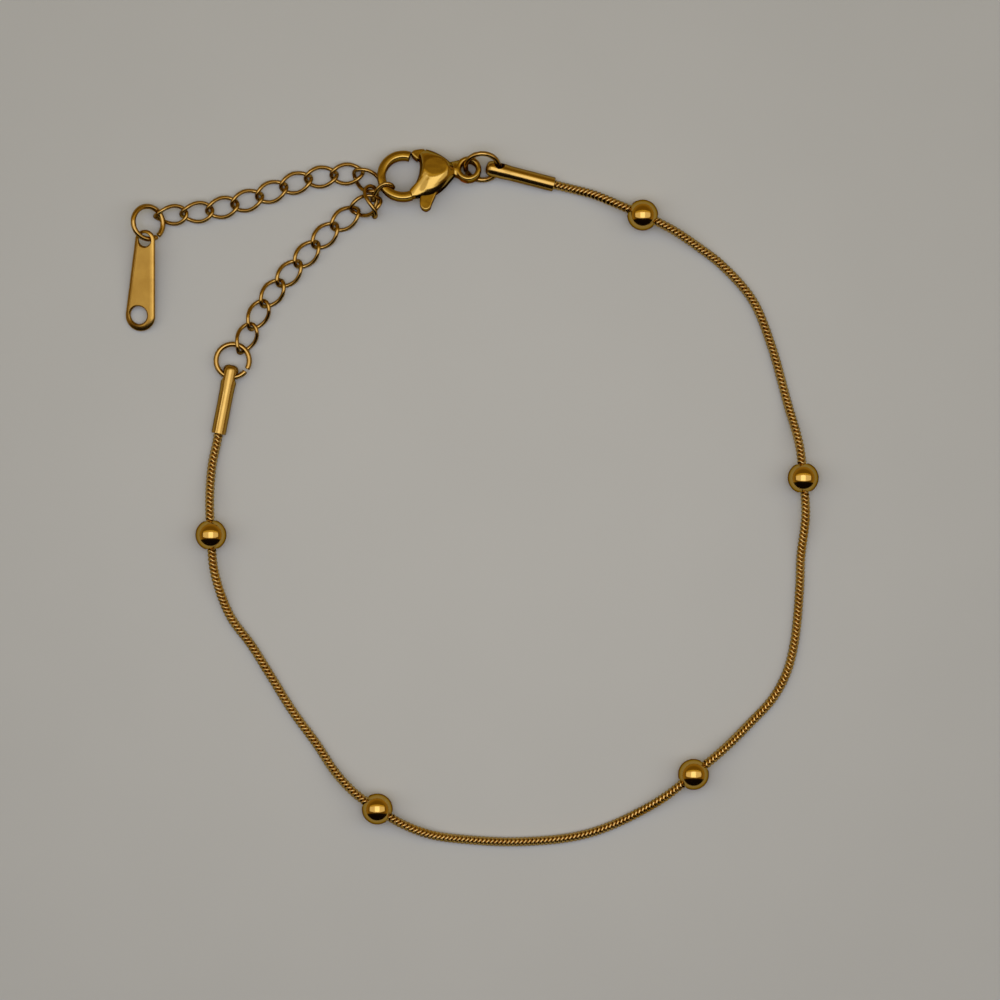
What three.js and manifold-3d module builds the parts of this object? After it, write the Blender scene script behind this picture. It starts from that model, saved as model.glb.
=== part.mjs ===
// Snake chain bracelet: a fine snake chain threaded with five drilled beads, a crimped cap on each
// end of it, jump rings, a lobster clasp with a sprung lever, and an extender of curb links that
// ends in a small tag. It lies open on a flat surface, clasp hooked into the extender.
// Millimetres, +Z up, origin on the surface under the middle of the whole piece.
import * as THREE from 'three';
import { ParametricGeometry } from 'three/addons/geometries/ParametricGeometry.js';
import { mergeVertices } from 'three/addons/utils/BufferGeometryUtils.js';
import Module from 'manifold-3d';

const wasm = await Module();
wasm.setup();

// ---- driving sizes ----
const chain = { width: 0.9, rest: 0.46, sides: 8, steps: 74, inCap: 3.8 };
const bead = { width: 3.0, bore: 1.24, sides: 16, reach: 9 };
const cap = {
  width: 1.4, dome: 1.5, length: 6.8, bore: 1.14, solidEnd: 2.5, hole: 1.1, holeAt: 1.17, sides: 14,
  clear: 1, reach: 7,
};
const jumpRing = { width: 3.7, wire: 0.5, gap: 10, sides: 6, steps: 16 };
const link = { length: 3.45, width: 2.26, wire: 0.38, twist: -45, round: 14, wireSides: 6 };
const tag = { bottom: 1.49, top: 1.0, spacing: 7.37, thickness: 0.42, edge: 0.12 };
const clasp = {
  thickness: 2.4, hookRadius: 2.1, hookWidth: 0.72, hookThickness: 1.1,
  eyeWidth: 2.5, eyeHole: 1.5, eyeThickness: 1.2, neckIn: 0.72, neckOut: 1.2, neckFlat: 0.64,
  neckLength: 1.9, slot: 1.0, leverRange: 26,
};
const lever = { thickness: 0.8, nose: 1.1, boss: 1.4, bore: 0.72, pin: 0.56, gap: 0.07 };

// ---- places ----
// The snake chain seen from above, from one cap's mouth to the other's, beads marked.
const chainWay = [
  [-24.5, 6.2], [-25.1, 3.2], [-25.3, 0.0], [-25.17, -3.59, 'bead'], [-24.8, -7.4],
  [-23.4, -11.4], [-21.3, -14.3], [-19.3, -17.5], [-17.3, -20.7], [-15.1, -23.7],
  [-13.2, -26.5], [-11.3, -28.5], [-9.07, -30.07, 'bead'], [-6.7, -31.5], [-3.9, -32.6],
  [-0.4, -33.1], [4.6, -33.3], [10.0, -32.8], [13.6, -31.7], [18.1, -29.3],
  [21.49, -26.68, 'bead'], [24.5, -24.2], [26.9, -21.9], [29.2, -19.4], [30.5, -17.0],
  [31.3, -13.9], [31.8, -8.6], [31.9, -5.7], [32.3, -1.6], [32.06, 1.94, 'bead'],
  [31.7, 5.1], [30.6, 9.2], [29.0, 14.9], [27.2, 19.2], [24.2, 22.6], [21.8, 24.4],
  [19.3, 26.0], [16.54, 27.35, 'bead'], [14.1, 28.4], [11.7, 29.4], [7.8, 30.4],
];
const leftCap = { closed: [-23.2, 12.9, 0.78], mouth: [-24.5, 6.2, 0.72], roll: 0 };
const rightCap = { closed: [1.4, 32.0, 1.38], mouth: [7.8, 30.4, 0.72], roll: 38 };
// Each ring leans down towards a bearing; its split is at another.
const leftRing = { at: [-23.12, 13.3, 0.84], low: 0, lean: 0, split: -35 };
const rightRing = { at: [1.03, 32.0, 1.52], low: -90, lean: 41, split: 200 };
const tagRing = { at: [-31.23, 26.6, 1.59], low: 9, lean: 31, split: -52 };
const tagPlace = { at: [-32.02, 17.68, 0.44], turn: -4.4, pitch: 9.3, roll: -14.5 };
const claspPlace = { at: [-3.64, 31.53, 1.46], roll: -14.5 };

// The extender runs from the tag to the clasp, and from the left cap's ring to the clasp.
const upperLine = [[-30.35, 27.27], [-25.4, 27.8], [-20.8, 29.1], [-15.9, 30.9], [-10.8, 31.5]];
const lowerLine = [[-22.36, 14.28], [-20.1, 18.8], [-16.8, 22.7], [-13.3, 26.3], [-11.2, 27.8]];
const upperLinks = 8;
const lowerLinks = 7;
// The four links gathered at the hook: turn about Z, pitch of the far end, roll on edge.
const knot = [
  { at: [-10.19, 28.3, 1.01], turn: 16.1, pitch: 13.9, roll: -0.3 },
  { at: [-8.71, 29.68, 1.48], turn: 31.7, pitch: 46.3, roll: 87.9 },
  { at: [-9.58, 28.66, 1.25], turn: -80, pitch: 2.1, roll: -67.7 },
  { at: [-10.11, 30.73, 0.82], turn: 146.5, pitch: -9.8, roll: -8.6 },
];

// ---- helpers ----
const v3 = (x, y, z) => new THREE.Vector3(x, y, z);
const rad = THREE.MathUtils.degToRad;
const fade = (value, from, to) => 1 - THREE.MathUtils.smootherstep(value, from, to);

function solidOf(geometry) {
  const bare = geometry.clone();
  bare.deleteAttribute('normal');
  bare.deleteAttribute('uv');
  const merged = mergeVertices(bare, 1e-5);
  return new wasm.Manifold(new wasm.Mesh({
    numProp: 3,
    vertProperties: new Float32Array(merged.attributes.position.array),
    triVerts: new Uint32Array(merged.index.array),
  }));
}

function geometryOf(solid) {
  const mesh = solid.getMesh();
  const geometry = new THREE.BufferGeometry();
  geometry.setAttribute('position', new THREE.BufferAttribute(mesh.vertProperties, 3));
  geometry.setIndex(new THREE.BufferAttribute(mesh.triVerts, 1));
  geometry.computeVertexNormals();
  return geometry;
}

const gold = (color, roughness) => new THREE.MeshStandardMaterial({ color, roughness, metalness: 1 });
const polishedGold = gold(0xd9a441, 0.18);
const softGold = gold(0xc9963a, 0.28);

const bracelet = new THREE.Group();

function addMesh(name, geometry, material = polishedGold, parent = bracelet) {
  const mesh = new THREE.Mesh(geometry, material);
  mesh.name = name;
  parent.add(mesh);
  return mesh;
}

// A regular polygon as the section of a wire or tube.
function roundSection(width, sides) {
  const corners = Array.from({ length: sides }, (_, i) => {
    const angle = (2 * Math.PI * (i + 0.5)) / sides;
    return new THREE.Vector2(Math.cos(angle), Math.sin(angle)).multiplyScalar(width / 2);
  });
  return new THREE.Shape(corners);
}

const sweep = (section, extrudePath, steps) => (
  new THREE.ExtrudeGeometry(section, { steps, bevelEnabled: false, extrudePath })
);

// ---- snake chain ----
const beadPlaces = chainWay.filter((row) => row[2]).map(([x, y]) => v3(x, y, bead.width / 2));

function capAxis({ closed, mouth }) {
  const from = v3(...mouth);
  const along = v3(...closed).sub(from).normalize();
  return { from, along, point: (distance) => from.clone().addScaledVector(along, distance) };
}

// Height of the chain's centre over a point of its way: it lies on the surface between the beads,
// rises through each bead and into each cap.
function chainHeight(point) {
  const flat = (place) => Math.hypot(point.x - place.x, point.y - place.y);
  let height = chain.rest;
  for (const place of beadPlaces) {
    height += (place.z - chain.rest) * fade(flat(place), bead.width * 0.55, bead.reach);
  }
  for (const place of [leftCap, rightCap]) {
    const { from, along } = capAxis(place);
    const inside = (point.x - from.x) * along.x + (point.y - from.y) * along.y;
    const axisHeight = from.z + inside * along.z;
    const beyond = inside > 0 && flat(from) < cap.length ? 0 : flat(from);
    height += (axisHeight - chain.rest) * fade(beyond, cap.clear, cap.reach);
  }
  return height;
}

function chainPath() {
  const left = capAxis(leftCap);
  const right = capAxis(rightCap);
  const inner = chainWay.slice(1, -1).map(([x, y]) => v3(x, y, 0));
  const ends = (axis) => [chain.inCap, chain.inCap / 2, 0, -1].map(axis.point);
  const plan = [...ends(left), ...inner, ...ends(right).reverse()];
  const flatWay = new THREE.CatmullRomCurve3(plan.map(({ x, y }) => v3(x, y, 0)));
  flatWay.arcLengthDivisions = 2000;
  const raised = flatWay.getSpacedPoints(300).map((p) => v3(p.x, p.y, chainHeight(p)));
  const path = new THREE.CatmullRomCurve3(raised);
  path.arcLengthDivisions = 2000;
  return path;
}

const path = chainPath();
addMesh('snake_chain', sweep(roundSection(chain.width, chain.sides), path, chain.steps), softGold);

// ---- beads ----
function beadGeometry() {
  const radius = bead.width / 2;
  const boreRadius = bead.bore / 2;
  const start = Math.asin(boreRadius / radius);
  const rows = 9;
  const profile = [];
  for (let i = 0; i <= rows; i += 1) {
    const angle = start + ((Math.PI - 2 * start) * i) / rows;
    profile.push(new THREE.Vector2(radius * Math.sin(angle), -radius * Math.cos(angle)));
  }
  profile.push(profile[0].clone());
  return new THREE.LatheGeometry(profile, bead.sides);
}

// How far along the chain, as a share of its length, it comes nearest a place.
function shareNearest(place) {
  const samples = path.getSpacedPoints(2000);
  const distances = samples.map((p) => p.distanceTo(place));
  return distances.indexOf(Math.min(...distances)) / 2000;
}

beadPlaces.forEach((place, index) => {
  const share = shareNearest(place);
  const along = path.getTangentAt(share).setZ(0).normalize();
  const mesh = addMesh(`bead_${index + 1}`, beadGeometry());
  mesh.position.copy(path.getPointAt(share)).setZ(place.z);
  mesh.quaternion.setFromUnitVectors(v3(0, 1, 0), along);
});

// ---- end caps ----
function capGeometry() {
  const half = cap.width / 2;
  const dome = cap.dome / 2;
  const profile = [
    [0, 0], [dome * 0.55, 0.06], [dome * 0.87, 0.24], [dome, 0.6], [dome, 1.7], [half, 2.6],
    [half, cap.length], [cap.bore / 2, cap.length], [cap.bore / 2, cap.solidEnd], [0, cap.solidEnd],
  ].map(([x, y]) => new THREE.Vector2(x, y));
  const body = solidOf(new THREE.LatheGeometry(profile, cap.sides));
  const drill = new THREE.CylinderGeometry(cap.hole / 2, cap.hole / 2, 2 * cap.width, 12);
  drill.rotateZ(Math.PI / 2).translate(0, cap.holeAt, 0);
  return geometryOf(body.subtract(solidOf(drill)));
}

function addCap(name, place) {
  const { along: toClosed } = capAxis(place);
  const axis = toClosed.clone().negate();
  const side = v3(0, 0, 1).cross(axis).normalize().applyAxisAngle(axis, rad(place.roll));
  const mesh = addMesh(name, capGeometry());
  mesh.position.set(...place.closed);
  mesh.quaternion.setFromRotationMatrix(
    new THREE.Matrix4().makeBasis(side, axis, side.clone().cross(axis)),
  );
}

addCap('end_cap_left', leftCap);
addCap('end_cap_right', rightCap);

// ---- split rings ----
class SplitRing extends THREE.Curve {
  constructor(radius, gap, offset) {
    super();
    Object.assign(this, { radius, gap, offset });
  }

  getPoint(t) {
    const angle = rad(this.gap / 2 + (360 - this.gap) * t);
    return v3(this.radius * Math.cos(angle), this.radius * Math.sin(angle), this.offset * (t - 0.5));
  }
}

function addRing(name, { at, low, lean, split }) {
  const { width, wire, gap, sides, steps } = jumpRing;
  const ringPath = new SplitRing((width - wire) / 2, gap, wire * 0.25);
  const mesh = addMesh(name, sweep(roundSection(wire, sides), ringPath, steps));
  mesh.position.set(...at);
  mesh.rotateOnAxis(v3(-Math.sin(rad(low)), Math.cos(rad(low)), 0), rad(lean));
  mesh.rotateZ(rad(split));
}

addRing('jump_ring_left', leftRing);
addRing('jump_ring_right', rightRing);
addRing('tag_ring', tagRing);

// ---- extender links ----
// An oval of round wire whose ends are turned about its length, so that links lie flat in a row.
function linkGeometry() {
  const a = (link.length - link.wire) / 2;
  const b = (link.width - link.wire) / 2;
  const centre = (angle) => {
    const x = a * Math.cos(angle);
    const y = b * Math.sin(angle);
    const turn = rad(link.twist) * (x / a);
    return v3(x, y * Math.cos(turn), y * Math.sin(turn));
  };
  const step = 1e-3;
  const surface = (u, v, target) => {
    const angle = 2 * Math.PI * u;
    const tangent = centre(angle + step).sub(centre(angle - step)).normalize();
    const side = v3(0, 0, 1).cross(tangent).normalize();
    const top = tangent.clone().cross(side);
    const turn = 2 * Math.PI * v;
    target.copy(centre(angle));
    target.addScaledVector(side, (Math.cos(turn) * link.wire) / 2);
    target.addScaledVector(top, (-Math.sin(turn) * link.wire) / 2);
  };
  return new ParametricGeometry(surface, link.round, link.wireSides);
}

function addLink(name, { at, turn, pitch = 0, roll = 0 }) {
  const mesh = addMesh(name, linkGeometry());
  mesh.position.set(...at);
  mesh.rotation.set(rad(roll), rad(-pitch), rad(turn), 'ZYX');
}

// Links in a row lie flat; where a row ends in a ring its last links rise and roll to take it.
const linkHeight = 0.575;
let linkNumber = 0;

function addLine(points, count, ringEnd) {
  const line = new THREE.CatmullRomCurve3(points.map(([x, y]) => v3(x, y, 0)));
  const joints = line.getSpacedPoints(count);
  for (let i = 0; i < count; i += 1) {
    const middle = joints[i].clone().lerp(joints[i + 1], 0.5);
    const turn = THREE.MathUtils.radToDeg(
      Math.atan2(joints[i + 1].y - joints[i].y, joints[i + 1].x - joints[i].x),
    );
    const share = Math.max(0, 1 - Math.abs(i - ringEnd.index) / 3);
    linkNumber += 1;
    addLink(`link_${linkNumber}`, {
      at: [middle.x, middle.y, linkHeight + ringEnd.lift * share], turn, roll: ringEnd.roll * share,
    });
  }
}

addLine(lowerLine, lowerLinks, { index: 0, lift: 0.28, roll: 24 });
for (const place of knot) {
  linkNumber += 1;
  addLink(`link_${linkNumber}`, place);
}
addLine([...upperLine].reverse(), upperLinks, { index: upperLinks - 1, lift: 0.285, roll: -32 });

// ---- tag ----
function tagGeometry() {
  const { bottom, top, spacing, edge } = tag;
  const lean = Math.asin((bottom - top) / spacing);
  const outline = new THREE.Shape();
  outline.absarc(0, 0, bottom - edge, Math.PI - lean, 2 * Math.PI + lean, false);
  outline.absarc(0, spacing, top - edge, lean, Math.PI - lean, false);
  const hole = (x, y, radius) => {
    const loop = roundSection(2 * (radius + edge), 18).getPoints().map((p) => p.add({ x, y }));
    outline.holes.push(new THREE.Path(loop.reverse()));
  };
  hole(-0.15, 0.05, 0.88);
  hole(-0.03, spacing + 0.03, 0.64);
  const geometry = new THREE.ExtrudeGeometry(outline, {
    depth: tag.thickness - 2 * edge, bevelThickness: edge, bevelSize: edge, bevelSegments: 1,
    curveSegments: 9,
  });
  return geometry.translate(0, 0, edge);
}

const tagMesh = addMesh('tag', tagGeometry(), softGold);
tagMesh.position.set(...tagPlace.at);
tagMesh.rotation.set(rad(tagPlace.pitch), rad(tagPlace.roll), rad(tagPlace.turn), 'ZXY');

// ---- clasp ----
const claspGroup = new THREE.Group();
claspGroup.position.set(...claspPlace.at);
claspGroup.rotation.x = rad(claspPlace.roll);
bracelet.add(claspGroup);

const hookCentre = [-2.96, -0.47];
const hookFrom = 74;            // bearings of the hook's tip and root from its centre, degrees
const hookTo = 292;
const eyeCentre = [3.35, 0.19];
const neckCentre = [2.15, 0.16];
const pivot = [-0.29, 0.78];
// The body seen from above, from the neck round by the nose, the hook's root and the slot side.
const bodyOutline = [
  [2.1, 0.2], [1.6, 0.82], [0.68, 1.6], [-0.2, 2.08], [-1.0, 2.28], [-1.5, 2.0], [-1.44, 1.2],
  [-1.36, 0.3], [-1.46, -0.5], [-1.84, -1.45], [-2.33, -2.0], [-2.2, -2.62], [-1.36, -2.64],
  [-0.4, -2.56], [0.3, -2.26], [1.07, -1.62], [1.7, -0.85], [2.05, -0.4],
];
// How the body's section shrinks towards its faces: share of the outline, share of half thickness.
const domeRows = [[0, 1], [0.48, 1], [0.7, 0.91], [0.86, 0.79], [0.96, 0.6], [1, 0.38]];

function domeGeometry() {
  const outline = new THREE.CatmullRomCurve3(bodyOutline.map(([x, y]) => v3(x, y, 0)), true);
  const rim = outline.getSpacedPoints(36);
  const levels = [
    ...domeRows.map(([share, rise]) => [share, -rise]),
    ...[...domeRows].reverse().map(([share, rise]) => [share, rise]),
  ];
  const last = levels.length - 1;
  const surface = (u, v, target) => {
    const [share, rise] = levels[Math.round(v * last)];
    const edge = rim[Math.round(u * 36) % 36];
    target.set(edge.x * share, edge.y * share, (rise * clasp.thickness) / 2);
  };
  return new ParametricGeometry(surface, 36, last);
}

function hookGeometry() {
  const hook = new THREE.EllipseCurve(
    ...hookCentre, clasp.hookRadius, clasp.hookRadius, rad(hookFrom), rad(hookTo), false,
  );
  const ring = new THREE.CatmullRomCurve3(hook.getSpacedPoints(20).map((p) => v3(p.x, p.y, 0)));
  const w = clasp.hookWidth / 2;
  const h = clasp.hookThickness / 2;
  const corner = 0.2;
  const section = new THREE.Shape([
    [h, w - corner], [h - corner, w], [corner - h, w], [-h, w - corner],
    [-h, corner - w], [corner - h, -w], [h - corner, -w], [h, corner - w],
  ].map(([x, y]) => new THREE.Vector2(x, y)));
  return sweep(section, ring, 20);
}

function eyeGeometry() {
  const outer = clasp.eyeWidth / 2;
  const inner = clasp.eyeHole / 2;
  const h = clasp.eyeThickness / 2;
  const round = 0.16;
  const profile = [
    [inner, round - h], [inner + round, -h], [outer - round, -h], [outer, round - h],
    [outer, h - round], [outer - round, h], [inner + round, h], [inner, h - round], [inner, round - h],
  ].map(([x, y]) => new THREE.Vector2(x, y));
  return new THREE.LatheGeometry(profile, 18).rotateX(Math.PI / 2).translate(...eyeCentre, 0);
}

// A plate cut to a part of a circle about the lever's pivot.
function sector(inner, outer, from, to, thickness) {
  const shape = new THREE.Shape();
  shape.absarc(0, 0, outer, rad(from), rad(to), false);
  if (inner > 0) shape.absarc(0, 0, inner, rad(to), rad(from), true);
  else shape.lineTo(0, 0);
  const plate = new THREE.ExtrudeGeometry(shape, { depth: thickness, bevelEnabled: false, curveSegments: 8 });
  return solidOf(plate.translate(...pivot, -thickness / 2));
}

function disc(radius, thickness, at = pivot) {
  const geometry = new THREE.CylinderGeometry(radius, radius, thickness, 16);
  return solidOf(geometry.rotateX(Math.PI / 2).translate(...at, 0));
}

function plateGeometry(points, thickness, edge = 0) {
  const shape = new THREE.Shape(points.map(([x, y]) => new THREE.Vector2(x, y)));
  const plate = new THREE.ExtrudeGeometry(shape, {
    depth: thickness - 2 * edge, bevelEnabled: edge > 0, bevelThickness: edge, bevelSize: edge,
    bevelOffset: -edge, bevelSegments: 1,
  });
  return plate.translate(0, 0, edge - thickness / 2);
}

const noseBack = 113;           // bearings from the pivot, degrees
const noseTip = 153;
const noseInner = 1.34;
const armTo = 184;
const slotReach = 1.6;
const pocketReach = 1.98;       // stops short of the hook's tip
const tabFrom = -107;
const tabTo = -69;

function claspBodyGeometry() {
  const neck = new THREE.CylinderGeometry(clasp.neckIn, clasp.neckOut, clasp.neckLength, 14)
    .rotateZ(Math.PI / 2).scale(1, 1, clasp.neckFlat).translate(...neckCentre, 0);
  const whole = [domeGeometry(), hookGeometry(), neck]
    .map(solidOf).reduce((sum, piece) => sum.add(piece))
    .subtract(disc(clasp.eyeWidth / 2 - 0.2, 3, eyeCentre))
    .add(solidOf(eyeGeometry()));
  const open = clasp.leverRange;
  const cuts = [
    sector(noseInner - lever.gap, pocketReach, noseBack - 2, noseTip + open + 4, 3),
    sector(0, slotReach, noseBack - 4, armTo + open, clasp.slot),
    sector(0, 6, tabFrom - 6, tabTo + open + 16, clasp.slot),
    disc(lever.boss / 2 + lever.gap, clasp.slot),
  ];
  return geometryOf(cuts.reduce((rest, cut) => rest.subtract(cut), whole)
    .add(disc(lever.pin / 2, clasp.slot + 0.4)));
}

function claspLeverGeometry() {
  const nose = [[-2.18, 1.73], [-1.84, 2.17], [-0.93, 2.2], [-0.75, 1.72], [-1.2, 0.92]];
  const arm = [
    [-2.1, 1.74], [-1.8, 2.18], [-0.93, 2.16], [-0.3, 0.9], [-0.29, 0.2], [-1.2, 0.94],
  ];
  const tab = [
    [-0.45, 0.2], [-1.26, -2.4], [-1.34, -3.3], [-1.15, -3.8], [-0.75, -4.0], [-0.35, -3.8],
    [-0.12, -3.2], [0.28, -2.2], [0.46, -1.3], [0.05, 0.25],
  ];
  const block = solidOf(plateGeometry(nose, lever.nose, 0.1)).subtract(disc(noseInner, 3));
  return geometryOf(solidOf(plateGeometry(arm, lever.thickness)).add(block)
    .add(solidOf(plateGeometry(tab, lever.thickness, 0.1)))
    .add(disc(lever.boss / 2, lever.thickness))
    .subtract(disc(lever.bore / 2, 3)));
}

addMesh('clasp_body', claspBodyGeometry(), polishedGold, claspGroup);
addMesh('clasp_lever', claspLeverGeometry(), polishedGold, claspGroup);

export default bracelet;
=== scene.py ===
"""Looks for the snake chain bracelet: chain plates, beads, caps, rings, curb links, tag and clasp.

Every piece is worked in millimetres in the bracelet's own frame and stored in metres.
"""

import math

import bmesh
import bpy
from mathutils import Matrix, Vector


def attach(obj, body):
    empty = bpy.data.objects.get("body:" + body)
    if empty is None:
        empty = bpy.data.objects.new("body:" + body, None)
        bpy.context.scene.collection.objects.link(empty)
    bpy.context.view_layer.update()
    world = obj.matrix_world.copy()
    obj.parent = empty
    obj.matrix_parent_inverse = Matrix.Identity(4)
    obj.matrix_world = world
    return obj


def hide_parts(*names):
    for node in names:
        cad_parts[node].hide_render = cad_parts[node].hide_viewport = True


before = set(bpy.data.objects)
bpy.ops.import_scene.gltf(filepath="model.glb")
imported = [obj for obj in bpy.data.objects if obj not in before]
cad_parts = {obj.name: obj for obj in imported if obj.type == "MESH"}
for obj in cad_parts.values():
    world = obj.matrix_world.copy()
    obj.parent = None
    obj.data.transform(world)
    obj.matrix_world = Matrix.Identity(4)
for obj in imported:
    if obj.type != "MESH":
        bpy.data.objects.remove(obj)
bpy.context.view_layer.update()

MM = 0.001
BODY = "bracelet"
LEVER_BODY = "lever"

# ---- sizes, in millimetres ----
# They are the part's source's own, but for the chain's plates, which it has none of.
CHAIN = {"width": 0.9, "rest": 0.46, "in_cap": 3.8, "pitch": 0.4, "wave": 0.16, "lay": 42,
         "sway": 14}
BEAD = {"width": 3.0, "bore": 1.24, "reach": 9}
CAP = {"width": 1.4, "dome": 1.5, "length": 6.8, "bore": 1.14, "solid_end": 2.5, "hole": 1.1,
       "hole_at": 1.17, "clear": 1, "reach": 7}
RING = {"width": 3.7, "wire": 0.5, "gap": 10, "step": 0.125}
LINK = {"length": 3.45, "width": 2.26, "wire": 0.38, "twist": -45, "height": 0.575}
TAG = {"bottom": 1.49, "top": 1.0, "spacing": 7.37, "thickness": 0.42}
# The hook and the eye start a little fuller than in the source, because easing the casting thins
# them. For the same reason HOOK_FROM is 1.8 degrees less than there.
CLASP = {"thickness": 2.4, "hook_radius": 2.1, "hook_width": 0.84, "hook_thickness": 1.2,
         "eye_width": 2.52, "eye_hole": 1.42, "eye_thickness": 1.3, "neck_in": 0.72,
         "neck_out": 1.2, "neck_flat": 0.64, "neck_length": 1.9, "slot": 1.0, "range": 26}
LEVER = {"thickness": 0.8, "nose": 1.1, "boss": 1.4, "bore": 0.72, "pin": 0.56, "gap": 0.07}

# ---- places, in millimetres and degrees, as in the part's source ----
# Rows marked "bead" carry one; the first and last rows are the caps' mouths.
CHAIN_WAY = [
    (-24.5, 6.2), (-25.1, 3.2), (-25.3, 0.0), (-25.17, -3.59, "bead"), (-24.8, -7.4),
    (-23.4, -11.4), (-21.3, -14.3), (-19.3, -17.5), (-17.3, -20.7), (-15.1, -23.7),
    (-13.2, -26.5), (-11.3, -28.5), (-9.07, -30.07, "bead"), (-6.7, -31.5), (-3.9, -32.6),
    (-0.4, -33.1), (4.6, -33.3), (10.0, -32.8), (13.6, -31.7), (18.1, -29.3),
    (21.49, -26.68, "bead"), (24.5, -24.2), (26.9, -21.9), (29.2, -19.4), (30.5, -17.0),
    (31.3, -13.9), (31.8, -8.6), (31.9, -5.7), (32.3, -1.6), (32.06, 1.94, "bead"),
    (31.7, 5.1), (30.6, 9.2), (29.0, 14.9), (27.2, 19.2), (24.2, 22.6), (21.8, 24.4),
    (19.3, 26.0), (16.54, 27.35, "bead"), (14.1, 28.4), (11.7, 29.4), (7.8, 30.4),
]
LEFT_CAP = {"closed": (-23.2, 12.9, 0.78), "mouth": (-24.5, 6.2, 0.72), "roll": 0}
RIGHT_CAP = {"closed": (1.4, 32.0, 1.38), "mouth": (7.8, 30.4, 0.72), "roll": 38}
RINGS = {
    "jump_ring_left": {"at": (-23.12, 13.3, 0.84), "low": 0, "lean": 0, "split": -35},
    "jump_ring_right": {"at": (1.03, 32.0, 1.52), "low": -90, "lean": 41, "split": 200},
    "tag_ring": {"at": (-31.23, 26.6, 1.59), "low": 9, "lean": 31, "split": -52},
}
TAG_PLACE = {"at": (-32.02, 17.68, 0.44), "turn": -4.4, "pitch": 9.3, "roll": -14.5}
CLASP_PLACE = {"at": (-3.64, 31.53, 1.46), "roll": -14.5}
UPPER_LINE = [(-30.35, 27.27), (-25.4, 27.8), (-20.8, 29.1), (-15.9, 30.9), (-10.8, 31.5)]
LOWER_LINE = [(-22.36, 14.28), (-20.1, 18.8), (-16.8, 22.7), (-13.3, 26.3), (-11.2, 27.8)]
UPPER_LINKS = 8
LOWER_LINKS = 7
# The four links gathered at the hook: place, turn about Z, pitch of the far end, roll on edge.
KNOT = [
    ((-10.19, 28.3, 1.01), 16.1, 13.9, -0.3),
    ((-8.71, 29.68, 1.48), 31.7, 46.3, 87.9),
    ((-9.58, 28.66, 1.25), -80, 2.1, -67.7),
    ((-10.11, 30.73, 0.82), 146.5, -9.8, -8.6),
]
HOOK_CENTRE = (-2.96, -0.47)
HOOK_FROM = 72.2
HOOK_TO = 292
EYE_CENTRE = (3.35, 0.19)
NECK_CENTRE = (2.15, 0.16)
PIVOT = (-0.29, 0.78)
# The flat on the body's face, and the body's rim from the neck round by the nose and the hook's
# root. The source's body is a plainer dome, and its rim is up to 0.11 higher by the nose.
FACET = {"centre": Vector((0.2, 0.22, 0)), "long": 1.15, "short": 0.92, "left": -0.88}
BODY_OUTLINE = [
    (2.1, 0.2), (1.6, 0.82), (0.68, 1.56), (-0.2, 2.0), (-1.0, 2.17), (-1.5, 1.95),
    (-1.44, 1.2), (-1.36, 0.3), (-1.46, -0.5), (-1.84, -1.45), (-2.33, -2.0), (-2.2, -2.62),
    (-1.36, -2.64), (-0.4, -2.56), (0.3, -2.26), (1.07, -1.62), (1.7, -0.85), (2.05, -0.4),
]

rad = math.radians
COLOUR_A, COLOUR_B, COLOUR_OUT = 6, 7, 2    # a colour mix node's sockets


# ---- materials ----
def linear(code):
    """A colour written as sRGB hex, turned to linear values."""
    parts = [int(code[i:i + 2], 16) / 255 for i in (0, 2, 4)]
    return [p / 12.92 if p <= 0.04045 else ((p + 0.055) / 1.055) ** 2.4 for p in parts] + [1.0]


def node(tree, kind, settings=None, links=None, **inputs):
    """Adds one node: its own settings, plain input values, and links {input: (node, output)}."""
    made = tree.nodes.new(kind)
    for key, value in (settings or {}).items():
        setattr(made, key, value)
    for key, value in inputs.items():
        made.inputs[key.replace("_", " ")].default_value = value
    for key, (source, output) in (links or {}).items():
        tree.links.new(source.outputs[output], made.inputs[key])
    return made


def start_material(name):
    made = bpy.data.materials.new(name)
    made.use_nodes = True
    tree = made.node_tree
    tree.nodes.clear()
    return made, tree


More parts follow.
